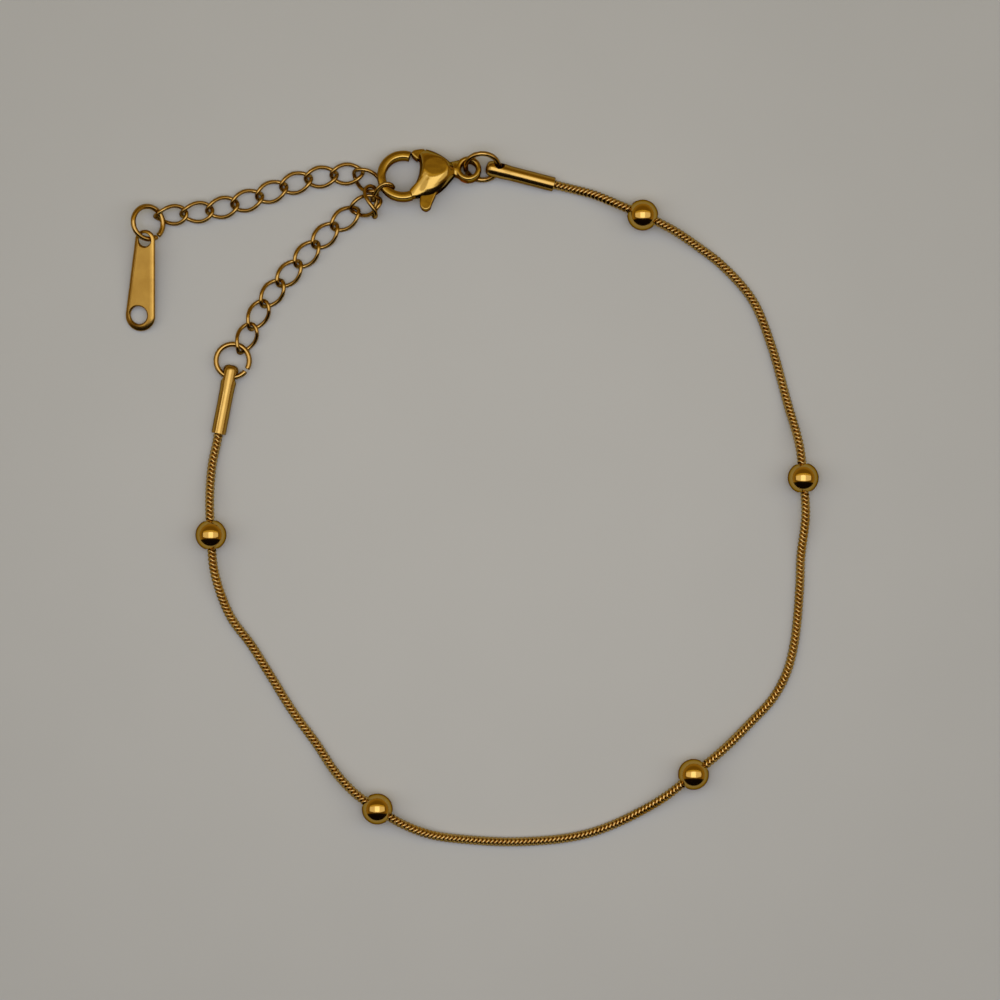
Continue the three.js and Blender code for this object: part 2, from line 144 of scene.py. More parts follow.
def gold_tone_steel(name, light, deep, rough, wear=0.06, ripple=0.25, scratch_mm=0.12,
                    painted_glancing_shade="5c3d1c"):
    """Stainless steel, polished and vacuum-coated gold: a deep warm metal with faint tone changes,
    fine handling scratches and the slight waviness that tumbling leaves on small parts. The last
    colour tints what it reflects at a grazing angle: painted shade that darkens edges and steep
    flanks."""
    made, tree = start_material(name)
    place = node(tree, "ShaderNodeTexCoord")
    tone = node(tree, "ShaderNodeTexNoise", Scale=1 / (1.6 * MM), Detail=3.0,
                links={"Vector": (place, "Object")})
    colour = node(tree, "ShaderNodeMix", {"data_type": "RGBA"}, links={"Factor": (tone, "Fac")})
    colour.inputs[COLOUR_A].default_value = linear(deep)
    colour.inputs[COLOUR_B].default_value = linear(light)
    stretched = node(tree, "ShaderNodeMapping", links={"Vector": (place, "Object")},
                     Scale=(1.0, 4.0, 2.0), Rotation=(0.3, 0.2, 0.6))
    scratch = node(tree, "ShaderNodeTexNoise", Scale=1 / (scratch_mm * MM), Detail=4.0,
                   Roughness=0.6, links={"Vector": (stretched, "Vector")})
    gloss = node(tree, "ShaderNodeMapRange", links={"Value": (scratch, "Fac")})
    gloss.inputs["From Min"].default_value = 0.3
    gloss.inputs["From Max"].default_value = 0.75
    gloss.inputs["To Min"].default_value = rough
    gloss.inputs["To Max"].default_value = rough + wear
    wave = node(tree, "ShaderNodeTexNoise", Scale=1 / (0.9 * MM), Detail=1.0,
                links={"Vector": (place, "Object")})
    bump = node(tree, "ShaderNodeBump", Strength=ripple, Distance=0.02 * MM,
                links={"Height": (wave, "Fac")})
    # The grazing tint is painted shade: it darkens what the metal reflects at its edges and steep
    # flanks.
    shader = node(tree, "ShaderNodeBsdfPrincipled", Metallic=1.0, Specular_Tint=linear(painted_glancing_shade),
                  links={"Base Color": (colour, COLOUR_OUT), "Roughness": (gloss, "Result"),
                         "Normal": (bump, "Normal")})
    node(tree, "ShaderNodeOutputMaterial", links={"Surface": (shader, "BSDF")})
    return made


# Mirror-polished beads; their dark grazing tint paints a little shade round their rims.
mirror_gold = gold_tone_steel("gold_tone_steel_mirror", "cea958", "c49d4c", 0.08,
                              painted_glancing_shade="7d5e34")
# Rolled tube of the end caps.
cap_gold = gold_tone_steel("gold_tone_steel_tube", "c09e53", "b38e44", 0.14, wear=0.12)
# Drawn wire of the rings and links; their dark grazing tint paints shade along the wires' edges.
wire_gold = gold_tone_steel("gold_tone_steel_wire", "bc9a52", "a07a38", 0.1, wear=0.08,
                            painted_glancing_shade="38220e")
# Stamped plates of the snake chain; their near-black grazing tint paints shade into the grooves
# between the plates.
chain_gold = gold_tone_steel("gold_tone_steel_plates", "dcbc74", "bb9552", 0.09,
                             painted_glancing_shade="1e0f04")
# Punched sheet of the tag.
tag_gold = gold_tone_steel("gold_tone_steel_sheet", "bc9848", "96702c", 0.16, wear=0.14)
# Cast and tumbled clasp.
clasp_gold = gold_tone_steel("gold_tone_steel_cast", "c0a050", "b08c3e", 0.11, wear=0.1,
                             ripple=0.4)


def paper_surface():
    """Matt paper board: pale grey with a very faint mottle, and painted shade that darkens it away
    from the middle.
    """
    made, tree = start_material("matt_paper_board")
    place = node(tree, "ShaderNodeTexCoord")
    mottle = node(tree, "ShaderNodeTexNoise", Scale=1 / (14 * MM), Detail=2.0,
                  links={"Vector": (place, "Object")})
    colour = node(tree, "ShaderNodeMix", {"data_type": "RGBA"}, links={"Factor": (mottle, "Fac")})
    colour.inputs[COLOUR_A].default_value = linear("cdd3ce")
    colour.inputs[COLOUR_B].default_value = linear("d1d7d2")
    away = node(tree, "ShaderNodeVectorMath", {"operation": "LENGTH"},
                links={"Vector": (place, "Object")})
    # Painted shade: the paper's colour falls to 0.88 of itself between 8 mm and 75 mm from the middle.
    painted_falloff_shade = node(tree, "ShaderNodeMapRange", {"interpolation_type": "SMOOTHSTEP"},
                links={"Value": (away, "Value")}, From_Min=8 * MM, From_Max=75 * MM, To_Min=1.0,
                To_Max=0.88)
    shade = node(tree, "ShaderNodeVectorMath", {"operation": "SCALE"},
                 links={"Vector": (colour, COLOUR_OUT), "Scale": (painted_falloff_shade, "Result")})
    shader = node(tree, "ShaderNodeBsdfPrincipled", Roughness=0.85,
                  links={"Base Color": (shade, "Vector")})
    node(tree, "ShaderNodeOutputMaterial", links={"Surface": (shader, "BSDF")})
    return made


# ---- mesh helpers ----
def finish_mesh(bm, sharp=32):
    """Smooth shading, with edges sharper than the angle kept crisp and broad flats left flat."""
    bmesh.ops.recalc_face_normals(bm, faces=bm.faces)
    for face in bm.faces:
        face.smooth = len(face.verts) < 9
    for edge in bm.edges:
        edge.smooth = not (len(edge.link_faces) == 2 and edge.calc_face_angle(0) > rad(sharp))


def mesh_object(name, bm, material=None, sharp=32, to_metres=True):
    if to_metres:
        bmesh.ops.scale(bm, vec=(MM, MM, MM), verts=bm.verts)
    finish_mesh(bm, sharp)
    mesh = bpy.data.meshes.new(name)
    bm.to_mesh(mesh)
    bm.free()
    made = bpy.data.objects.new(name, mesh)
    bpy.context.scene.collection.objects.link(made)
    if material:
        mesh.materials.append(material)
    return made


def declare(piece, slot, *nodes, body=BODY):
    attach(piece, body)
    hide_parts(*nodes)


def basis(x, y, z, at):
    """The placement whose axes are x, y and z and whose origin is at."""
    return Matrix((
        (x[0], y[0], z[0], at[0]), (x[1], y[1], z[1], at[1]), (x[2], y[2], z[2], at[2]),
        (0, 0, 0, 1),
    ))


def in_metres(placed):
    """A placement worked in millimetres, for a mesh already in metres."""
    return Matrix.Scale(MM, 4) @ placed @ Matrix.Scale(1 / MM, 4)


def loop_edges(verts):
    chosen = set(verts)
    return [e for e in {e for v in verts for e in v.link_edges} if e.verts[0] in chosen
            and e.verts[1] in chosen]


def squared(value, power):
    return math.copysign(abs(value) ** power, value)


def sweep(bm, placements, radius, sides, closed=False, power=1.0):
    """A wire through the placements, whose z axes point along it.

    A power under 1 turns its round section towards a square.
    """
    loops = []
    for placement in placements:
        made = bmesh.ops.create_circle(bm, cap_ends=False, segments=sides, radius=radius)
        for vert in made["verts"]:
            vert.co = placement @ Vector((squared(vert.co.x, power), squared(vert.co.y, power), 0))
        loops.append(loop_edges(made["verts"]))
    pairs = list(zip(loops, loops[1:])) + ([(loops[-1], loops[0])] if closed else [])
    for first, second in pairs:
        bmesh.ops.bridge_loops(bm, edges=first + second)
    if not closed:
        for ends in (loops[0], loops[-1]):
            bmesh.ops.contextual_create(bm, geom=ends)
    return bm


def lathe(profile, steps, closed=False):
    """Spins a profile of (radius, height) about Z; on-axis points close to poles."""
    bm = bmesh.new()
    verts = [bm.verts.new((r, 0, z)) for r, z in profile]
    pairs = list(zip(verts, verts[1:])) + ([(verts[-1], verts[0])] if closed else [])
    edges = [bm.edges.new(pair) for pair in pairs]
    bmesh.ops.spin(bm, geom=verts + edges, cent=(0, 0, 0), axis=(0, 0, 1), dvec=(0, 0, 0),
                   angle=2 * math.pi, steps=steps, use_merge=True)
    bmesh.ops.remove_doubles(bm, verts=bm.verts, dist=1e-5)
    return bm


def arc(centre, radius, start, end, count):
    return [(centre[0] + radius * math.cos(rad(start + (end - start) * i / count)),
             centre[1] + radius * math.sin(rad(start + (end - start) * i / count)))
            for i in range(count + 1)]


def applied(piece):
    """Applies a piece's modifiers to its mesh."""
    depsgraph = bpy.context.evaluated_depsgraph_get()
    mesh = bpy.data.meshes.new_from_object(piece.evaluated_get(depsgraph))
    piece.modifiers.clear()
    piece.data = mesh
    return piece


def carve(piece, cutters, operation="DIFFERENCE"):
    """Cuts each cutter from a piece, or joins it, and drops the cutters."""
    for cutter in cutters:
        tool = piece.modifiers.new("carve", "BOOLEAN")
        tool.operation = operation
        tool.solver = "EXACT"
        tool.object = cutter
    bpy.context.view_layer.update()
    applied(piece)
    for cutter in cutters:
        bpy.data.objects.remove(cutter)
    return piece


def reshade(piece, material, sharp=32):
    bm = bmesh.new()
    bm.from_mesh(piece.data)
    bmesh.ops.remove_doubles(bm, verts=bm.verts, dist=0.0005 * MM)
    finish_mesh(bm, sharp)
    bm.to_mesh(piece.data)
    bm.free()
    piece.data.materials.clear()
    piece.data.materials.append(material)
    return piece


# ---- curves ----
def catmull_rom(points, per_span):
    """Points along a centripetal Catmull-Rom curve through the given ones."""
    ends = [points[0] * 2 - points[1], *points, points[-1] * 2 - points[-2]]
    way = []
    for p0, p1, p2, p3 in zip(ends, ends[1:], ends[2:], ends[3:]):
        d0, d1, d2 = [max((b - a).length, 1e-6) ** 0.5 for a, b in ((p0, p1), (p1, p2), (p2, p3))]
        t1 = ((p1 - p0) / d0 - (p2 - p0) / (d0 + d1) + (p2 - p1) / d1) * d1
        t2 = ((p2 - p1) / d1 - (p3 - p1) / (d1 + d2) + (p3 - p2) / d2) * d1
        for i in range(per_span):
            t = i / per_span
            h = (2 * t ** 3 - 3 * t ** 2 + 1, t ** 3 - 2 * t ** 2 + t,
                 -2 * t ** 3 + 3 * t ** 2, t ** 3 - t ** 2)
            way.append(p1 * h[0] + t1 * h[1] + p2 * h[2] + t2 * h[3])
    way.append(points[-1].copy())
    return way


def spaced(way, count):
    """The same way as evenly spaced points, count spans in all."""
    lengths = [0.0]
    for a, b in zip(way, way[1:]):
        lengths.append(lengths[-1] + (b - a).length)
    out = []
    j = 0
    for i in range(count + 1):
        want = lengths[-1] * i / count
        while j < len(way) - 2 and lengths[j + 1] < want:
            j += 1
        span = max(lengths[j + 1] - lengths[j], 1e-9)
        out.append(way[j].lerp(way[j + 1], (want - lengths[j]) / span))
    return out, lengths[-1]


def fade(value, start, end):
    """Falls smoothly from 1 at start to 0 at end."""
    t = min(max((value - start) / (end - start), 0), 1)
    return 1 - t * t * t * (t * (t * 6 - 15) + 10)


def cap_axis(place):
    """The middle of a cap's mouth and the way into it."""
    mouth = Vector(place["mouth"])
    along = (Vector(place["closed"]) - mouth).normalized()
    return mouth, along


BEAD_PLACES = [Vector((row[0], row[1], BEAD["width"] / 2)) for row in CHAIN_WAY if len(row) == 3]


def chain_height(point):
    """Height of the chain's centre: low between the beads, raised through beads and caps."""
    height = CHAIN["rest"]
    for place in BEAD_PLACES:
        away = math.hypot(point.x - place.x, point.y - place.y)
        height += (place.z - CHAIN["rest"]) * fade(away, BEAD["width"] * 0.55, BEAD["reach"])
    for place in (LEFT_CAP, RIGHT_CAP):
        mouth, along = cap_axis(place)
        away = math.hypot(point.x - mouth.x, point.y - mouth.y)
        inside = (point.x - mouth.x) * along.x + (point.y - mouth.y) * along.y
        beyond = 0 if inside > 0 and away < CAP["length"] else away
        lift = mouth.z + inside * along.z - CHAIN["rest"]
        height += lift * fade(beyond, CAP["clear"], CAP["reach"])
    return height


def chain_path(step):
    """Evenly spaced points about one step apart along the chain's centre."""
    plan = []
    for place, order in ((LEFT_CAP, 1), (RIGHT_CAP, -1)):
        mouth, along = cap_axis(place)
        ends = [mouth + along * d for d in (CHAIN["in_cap"], CHAIN["in_cap"] / 2, 0, -1)]
        plan.append(ends[::order])
    inner = [Vector((row[0], row[1], 0)) for row in CHAIN_WAY[1:-1]]
    flat = [Vector((p.x, p.y, 0)) for p in [*plan[0], *inner, *plan[1]]]
    way, length = spaced(catmull_rom(flat, 40), 1200)
    raised = [Vector((p.x, p.y, chain_height(p))) for p in way]
    return spaced(raised, round(length / step))[0]


# ---- snake chain ----
def chain_plate():
    """One plate: a ring with a round crown that falls away deeply to both sides, bent into two
    waves round its axis."""
    outer = CHAIN["width"] / 2
    bm = bmesh.new()
    half = CHAIN["pitch"] / 2
    rims = [(outer * 0.42, -half), (outer * 0.88, -half * 0.56), (outer, 0),
            (outer * 0.88, half * 0.56), (outer * 0.42, half)]
    loops = []
    for radius, height in rims:
        made = bmesh.ops.create_circle(bm, cap_ends=False, segments=14, radius=radius,
                                       matrix=Matrix.Translation((0, 0, height)))
        loops.append(loop_edges(made["verts"]))
    for i, loop in enumerate(loops):
        bmesh.ops.bridge_loops(bm, edges=loop + loops[(i + 1) % len(loops)])
    for vert in bm.verts:
        vert.co.z += CHAIN["wave"] * math.cos(2 * math.atan2(vert.co.y, vert.co.x))
    bmesh.ops.recalc_face_normals(bm, faces=bm.faces)
    mesh = bpy.data.meshes.new("chain_plate")
    bm.to_mesh(mesh)
    bm.free()
    return mesh


def build_chain():
    plate = chain_plate()
    path = chain_path(CHAIN["pitch"])
    bm = bmesh.new()
    for i in range(len(path)):
        tangent = (path[min(i + 1, len(path) - 1)] - path[max(i - 1, 0)]).normalized()
        side = Vector((0, 0, 1)).cross(tangent).normalized()
        twist = Matrix.Rotation(rad(CHAIN["lay"] + CHAIN["sway"] * math.sin(i * 0.021)), 4, "Z")
        placed = basis(side, tangent.cross(side), tangent, path[i]) @ twist
        known = len(bm.verts)
        bm.from_mesh(plate)
        bm.verts.ensure_lookup_table()
        for vert in bm.verts[known:]:
            vert.co = placed @ vert.co
    bpy.data.meshes.remove(plate)
    piece = mesh_object("snake_chain_plates", bm, chain_gold, sharp=70)
    declare(piece, "chain_gold", "snake_chain")


# ---- beads ----
def build_beads():
    radius = BEAD["width"] / 2
    bore = BEAD["bore"] / 2
    start = math.degrees(math.asin((bore + 0.09) / radius))
    skin = [(x, -z) for z, x in arc((0, 0), radius, start, 180 - start, 30)]
    top = skin[-1][1]
    lip = [(bore + 0.03, top + 0.03), (bore, top - 0.04)]
    profile = [*[(r, -z) for r, z in lip[::-1]], *skin, *lip]
    path = chain_path(0.1)
    for number, place in enumerate(BEAD_PLACES, 1):
        nearest = min(range(len(path)), key=lambda i: (path[i] - place).length)
        along = path[min(nearest + 1, len(path) - 1)] - path[nearest - 1]
        along.z = 0
        at = Vector((path[nearest].x, path[nearest].y, place.z))
        bm = lathe(profile, 64, closed=True)
        side = Vector((0, 0, 1)).cross(along).normalized()
        axis = along.normalized()
        bmesh.ops.transform(bm, matrix=basis(side, axis.cross(side), axis, at), verts=bm.verts)
        declare(mesh_object(f"round_bead_{number}", bm, mirror_gold), "bead_gold", f"bead_{number}")


# ---- end caps ----
def build_cap(name, node_name, place):
    half = CAP["width"] / 2
    dome = CAP["dome"] / 2
    bore = CAP["bore"] / 2
    soft = 0.05
    profile = [
        (0, 0), (dome * 0.3, 0.015), (dome * 0.55, 0.06), (dome * 0.74, 0.13), (dome * 0.88, 0.25),
        (dome * 0.97, 0.42), (dome, 0.62), (dome, 1.6), (dome * 0.995, 1.9), (half * 1.01, 2.35),
        (half, 2.7), (half, CAP["length"] - soft), (half - soft, CAP["length"]),
        (bore + soft, CAP["length"]), (bore, CAP["length"] - soft), (bore, CAP["solid_end"]),
        (0, CAP["solid_end"]),
    ]
    bm = lathe(profile, 48)
    cap = mesh_object(name, bm)
    drill_bm = bmesh.new()
    bmesh.ops.create_cone(drill_bm, cap_ends=True, segments=32, radius1=CAP["hole"] / 2,
                          radius2=CAP["hole"] / 2, depth=2 * CAP["width"],
                          matrix=Matrix.Translation((0, 0, CAP["hole_at"]))
                          @ Matrix.Rotation(rad(90), 4, "Y"))
    seam_bm = bmesh.new()
    bmesh.ops.create_cube(seam_bm, size=1, matrix=Matrix.Translation((-0.25, half - 0.02, 4.9))
                          @ Matrix.Diagonal((0.07, 0.3, 4.4, 1)))
    carve(cap, [mesh_object("drill", drill_bm), mesh_object("seam", seam_bm)])
    closed = Vector(place["closed"])
    _, along = cap_axis(place)
    axis = -along
    side = Matrix.Rotation(rad(place["roll"]), 3, axis) @ Vector((0, 0, 1)).cross(axis).normalized()
    cap.data.transform(basis(side, axis.cross(side), axis, closed * MM))
    reshade(cap, cap_gold)
    declare(cap, "cap_gold", node_name)


# ---- split rings ----
def build_ring(node_name, place):
    steps = 72
    radius = (RING["width"] - RING["wire"]) / 2
    half = rad(RING["gap"] / 2)
    sweep_angle = 2 * math.pi - 2 * half
    bm = bmesh.new()
    start = (Matrix.Rotation(half, 4, "Z") @ Matrix.Translation((radius, 0, -RING["step"] / 2))
             @ Matrix.Rotation(rad(90), 4, "X"))
    made = bmesh.ops.create_circle(bm, cap_ends=True, segments=16, radius=RING["wire"] / 2,
                                   matrix=start)
    faces = list({f for v in made["verts"] for f in v.link_faces})
    spun = bmesh.ops.spin(bm, geom=made["verts"] + loop_edges(made["verts"]), cent=(0, 0, 0),
                          axis=(0, 0, 1), dvec=(0, 0, RING["step"] / steps), angle=sweep_angle,
                          steps=steps, use_duplicate=False)
    last = [g for g in spun["geom_last"] if isinstance(g, bmesh.types.BMEdge)]
    bmesh.ops.contextual_create(bm, geom=last)
    rims = [e for e in bm.edges if len(e.link_faces) == 2 and e.calc_face_angle(0) > rad(60)]
    bmesh.ops.bevel(bm, geom=rims, offset=0.05, segments=2, profile=0.5, affect="EDGES", material=-1)
    axis = Vector((-math.sin(rad(place["low"])), math.cos(rad(place["low"])), 0))
    placed = (Matrix.Translation(place["at"]) @ Matrix.Rotation(rad(place["lean"]), 4, axis)
              @ Matrix.Rotation(rad(place["split"]), 4, "Z"))
    bmesh.ops.transform(bm, matrix=placed, verts=bm.verts)
    declare(mesh_object(f"{node_name}_wire", bm, wire_gold), "ring_gold", node_name)


# ---- extender links ----
def link_centre(angle):
    a = (LINK["length"] - LINK["wire"]) / 2
    b = (LINK["width"] - LINK["wire"]) / 2
    y = b * math.sin(angle)
    turn = rad(LINK["twist"]) * math.cos(angle)
    return Vector((a * math.cos(angle), y * math.cos(turn), y * math.sin(turn)))


def link_mesh():
    placements = []
    steps = 40
    for i in range(steps):
        angle = 2 * math.pi * i / steps
        tangent = (link_centre(angle + 0.01) - link_centre(angle - 0.01)).normalized()
        side = Vector((0, 0, 1)).cross(tangent).normalized()
        placements.append(basis(side, tangent.cross(side), tangent, link_centre(angle)))
    return sweep(bmesh.new(), placements, LINK["wire"] / 2, 12, closed=True)


def build_link(number, at, turn, pitch, roll):
    bm = link_mesh()
    placed = (Matrix.Translation(at) @ Matrix.Rotation(rad(turn), 4, "Z")
              @ Matrix.Rotation(rad(-pitch), 4, "Y") @ Matrix.Rotation(rad(roll), 4, "X"))
    bmesh.ops.transform(bm, matrix=placed, verts=bm.verts)
    declare(mesh_object(f"curb_link_{number}", bm, wire_gold), "link_gold", f"link_{number}")


def row_links(points, count, ring_index, lift, roll):
    """Places of a row of flat links; the last ones before a ring rise and roll to take it."""
    way = catmull_rom([Vector((x, y, 0)) for x, y in points], 60)
    joints, _ = spaced(way, count)
    for i in range(count):
        middle = (joints[i] + joints[i + 1]) / 2
        run = joints[i + 1] - joints[i]
        share = max(0, 1 - abs(i - ring_index) / 3)
        yield ((middle.x, middle.y, LINK["height"] + lift * share),
               math.degrees(math.atan2(run.y, run.x)), 0, roll * share)


def build_extender():
    rows = [*row_links(LOWER_LINE, LOWER_LINKS, 0, 0.28, 24), *KNOT,
            *row_links(UPPER_LINE[::-1], UPPER_LINKS, UPPER_LINKS - 1, 0.285, -32)]
    for number, (at, turn, pitch, roll) in enumerate(rows, 1):
        build_link(number, at, turn, pitch, roll)


# ---- tag ----
def tag_outline(inset, height):
    lean = math.degrees(math.asin((TAG["bottom"] - TAG["top"]) / TAG["spacing"]))
    rim = [*arc((0, 0), TAG["bottom"] - inset, 180 - lean, 360 + lean, 36),
           *arc((0, TAG["spacing"]), TAG["top"] - inset, lean, 180 - lean, 28)]
    return [(x, y, height) for x, y in rim]


def build_tag():
    """A sheet with a wide and a narrow round end, a hole in each, and a rolled upper edge."""
    thick = TAG["thickness"]
    rows = [(0.12, 0), (0.04, 0.03), (0, 0.12), (0, 0.22), (0.04, 0.3), (0.13, 0.345),
            (0.26, 0.385), (0.4, 0.41), (0.48, thick)]
    tag = mesh_object("tag_plate", loft([tag_outline(*row) for row in rows]))
    cutters = []
    for x, y, radius in ((-0.15, 0.05, 0.88), (-0.03, TAG["spacing"] + 0.03, 0.64)):
        flare = [(0, -0.3), (radius + 0.1, -0.3), (radius + 0.1, -0.02), (radius, 0.08),
                 (radius, 0.3), (radius + 0.05, 0.36), (radius + 0.15, 0.43),
                 (radius + 0.15, 0.7), (0, 0.7)]
        hole = lathe(flare, 48)
        bmesh.ops.translate(hole, vec=(x, y, 0), verts=hole.verts)
        cutters.append(mesh_object("tag_hole", hole))
    carve(tag, cutters)
    placed = (Matrix.Translation(TAG_PLACE["at"]) @ Matrix.Rotation(rad(TAG_PLACE["turn"]), 4, "Z")
              @ Matrix.Rotation(rad(TAG_PLACE["pitch"]), 4, "X")
              @ Matrix.Rotation(rad(TAG_PLACE["roll"]), 4, "Y"))
    tag.data.transform(in_metres(placed))
    reshade(tag, tag_gold, sharp=40)
    declare(tag, "tag_gold", "tag")


# ---- clasp ----
def clasp_placed():
    return Matrix.Translation(CLASP_PLACE["at"]) @ Matrix.Rotation(rad(CLASP_PLACE["roll"]), 4, "X")


def loft(levels):
    """A closed form through a pile of outlines with equal numbers of points."""
    bm = bmesh.new()
    loops = []
    for points in levels:
        level = [bm.verts.new(point) for point in points]
        loops.append([bm.edges.new((a, b)) for a, b in zip(level, level[1:] + level[:1])])
    for first, second in zip(loops, loops[1:]):
        bmesh.ops.bridge_loops(bm, edges=first + second)
    for ends in (loops[0], loops[-1]):
        bmesh.ops.contextual_create(bm, geom=ends)
    return bm


def plate(points, thickness, edge=0):
    """A flat plate of an outline, centred on the clasp's middle plane, with rounded edges."""
    bm = bmesh.new()
    rim = [bm.verts.new((x, y, -thickness / 2)) for x, y in points]
    face = bm.faces.new(rim)
    made = bmesh.ops.extrude_face_region(bm, geom=[face])
    top = [g for g in made["geom"] if isinstance(g, bmesh.types.BMVert)]
    bmesh.ops.translate(bm, vec=(0, 0, thickness), verts=top)
    bmesh.ops.recalc_face_normals(bm, faces=bm.faces)
    if edge:
        flat = [e for e in bm.edges if abs(e.verts[0].co.z - e.verts[1].co.z) < 1e-6]
        bmesh.ops.bevel(bm, geom=flat, offset=edge, segments=4, profile=0.5, affect="EDGES",
                        material=-1, clamp_overlap=True)
    return bm


def sector(inner, outer, start, end):
    """The outline of a part of a circle about the lever's pivot."""
    rim = arc(PIVOT, outer, start, end, 20)
    return rim + (arc(PIVOT, inner, end, start, 20) if inner > 0 else [PIVOT])


def round_outline(radius, centre, count=40):
    return arc(centre, radius, 0, 360 - 360 / count, count - 1)


def smooth_outline(points, count):
    ring = [Vector((x, y, 0)) for x, y in points]
    way = catmull_rom([ring[-1], *ring, ring[0], ring[1]], 12)
    closed = way[12:12 * (len(ring) + 1) + 1]
    return spaced(closed, count)[0][:-1]


def smooth_points(points, count):
    return [(p.x, p.y) for p in smooth_outline(points, count)]


# Bearings from the lever's pivot in degrees, and reaches from it in millimetres.
NOSE_BACK = 113
NOSE_TIP = 153
NOSE_INNER = 1.34
ARM_TO = 184
SLOT_REACH = 1.6
POCKET_REACH = 1.98
TAB_FROM = -107
TAB_TO = -69
THROUGH = 3                     # thick enough to pass right through the clasp


def hook_blank():
    """The hook: a strap of flat-sided section with rounded corners."""
    placements = []
    steps = 44
    for i in range(steps + 1):
        angle = rad(HOOK_FROM + (HOOK_TO - HOOK_FROM) * i / steps)
        out = Vector((math.cos(angle), math.sin(angle), 0))
        along = Vector((-math.sin(angle), math.cos(angle), 0))
        at = Vector((*HOOK_CENTRE, 0)) + out * CLASP["hook_radius"]
        width = CLASP["hook_width"] / 2
        deep = CLASP["hook_thickness"] / 2
        placements.append(basis(out * width, along.cross(out) * deep, along, at))
    return sweep(bmesh.new(), placements, 1.0, 32, power=0.5)


def eye_blank():
    outer = CLASP["eye_width"] / 2
    inner = CLASP["eye_hole"] / 2
    half = CLASP["eye_thickness"] / 2
    middle = (outer + inner) / 2
    wall = (outer - inner) / 2
    profile = [(middle + wall * squared(math.cos(a), 0.6), half * squared(math.sin(a), 0.6))
               for a in [2 * math.pi * i / 24 for i in range(24)]]
    bm = lathe(profile, 56, closed=True)
    bmesh.ops.translate(bm, vec=(*EYE_CENTRE, 0), verts=bm.verts)
    return bm


def dome_blank():
    """The heart of the body: a flat face on a gently domed form with a steep rim.

    Each row is (share of the way from the face to the rim, height, height towards the hook's root
    and the neck).
    """
    rim = smooth_outline(BODY_OUTLINE, 72)
    facet = []
    for point in rim:
        way = (point - FACET["centre"]).normalized()
        spoke = FACET["centre"] + Vector((way.x * FACET["long"], way.y * FACET["short"], 0))
        facet.append(Vector((max(spoke.x, FACET["left"]), spoke.y, 0)))
    half = CLASP["thickness"] / 2
    rows = [(0, 1, 1), (0.12, 0.985, 0.96), (0.3, 0.935, 0.84), (0.5, 0.84, 0.7),
            (0.7, 0.7, 0.58), (0.85, 0.55, 0.49), (0.95, 0.42, 0.42), (1, 0.32, 0.34)]
    root = Vector((-2.3, -2.35, 0))
    neck = Vector((2.2, 0.1, 0))
    near = [max(fade((point - root).length, 0.25, 1.6), fade((point - neck).length, 0.2, 1.3))
            for point in rim]

    def level(side, share, height, low):
        return [(*inner.lerp(outer, share).xy, side * half * (height + (low - height) * weight))
                for inner, outer, weight in zip(facet, rim, near)]

    return loft([level(-1, *row) for row in rows] + [level(1, *row) for row in rows[::-1]])


def neck_blank():
    """A short waist that widens from the body into the eye."""
    bm = bmesh.new()
    placed = (Matrix.Translation((*NECK_CENTRE, 0)) @ Matrix.Diagonal((1, 1, CLASP["neck_flat"], 1))
              @ Matrix.Rotation(rad(90), 4, "Y"))
    bmesh.ops.create_cone(bm, cap_ends=True, segments=32, radius1=CLASP["neck_in"],
                          radius2=CLASP["neck_out"], depth=CLASP["neck_length"], matrix=placed)
    return bm


def build_clasp_body():
    body = mesh_object("clasp_body_cast", dome_blank())
    blanks = [mesh_object("hook_blank", hook_blank()), mesh_object("neck_blank", neck_blank())]
    carve(body, blanks, "UNION")
    hole = plate(round_outline(CLASP["eye_width"] / 2 - 0.2, EYE_CENTRE), THROUGH)
    carve(body, [mesh_object("eye_hole", hole)])
    carve(body, [mesh_object("eye_blank", eye_blank())], "UNION")
    skin = body.modifiers.new("skin", "REMESH")
    skin.mode = "VOXEL"
    skin.voxel_size = 0.045 * MM
    ease = body.modifiers.new("ease", "SMOOTH")
    ease.factor = 0.5
    ease.iterations = 5
    bpy.context.view_layer.update()
    applied(body)
    travel = CLASP["range"]
    gap = LEVER["gap"]
    slot = CLASP["slot"]
    cutters = [
        plate(sector(NOSE_INNER - gap, POCKET_REACH, NOSE_BACK - 2, NOSE_TIP + travel + 4), THROUGH),
        plate(sector(0, SLOT_REACH, NOSE_BACK - 4, ARM_TO + travel), slot),
        plate(sector(0, 6, TAB_FROM - 6, TAB_TO + travel + 16), slot),
        plate(round_outline(LEVER["boss"] / 2 + 2.5 * gap, PIVOT), slot),
    ]
    carve(body, [mesh_object("cutter", bm) for bm in cutters])
    pin = mesh_object("pin", plate(round_outline(LEVER["pin"] / 2, PIVOT), slot + 0.4))
    carve(body, [pin], "UNION")
    body.data.transform(in_metres(clasp_placed()))
    reshade(body, clasp_gold, sharp=40)
    declare(body, "clasp_gold", "clasp_body")


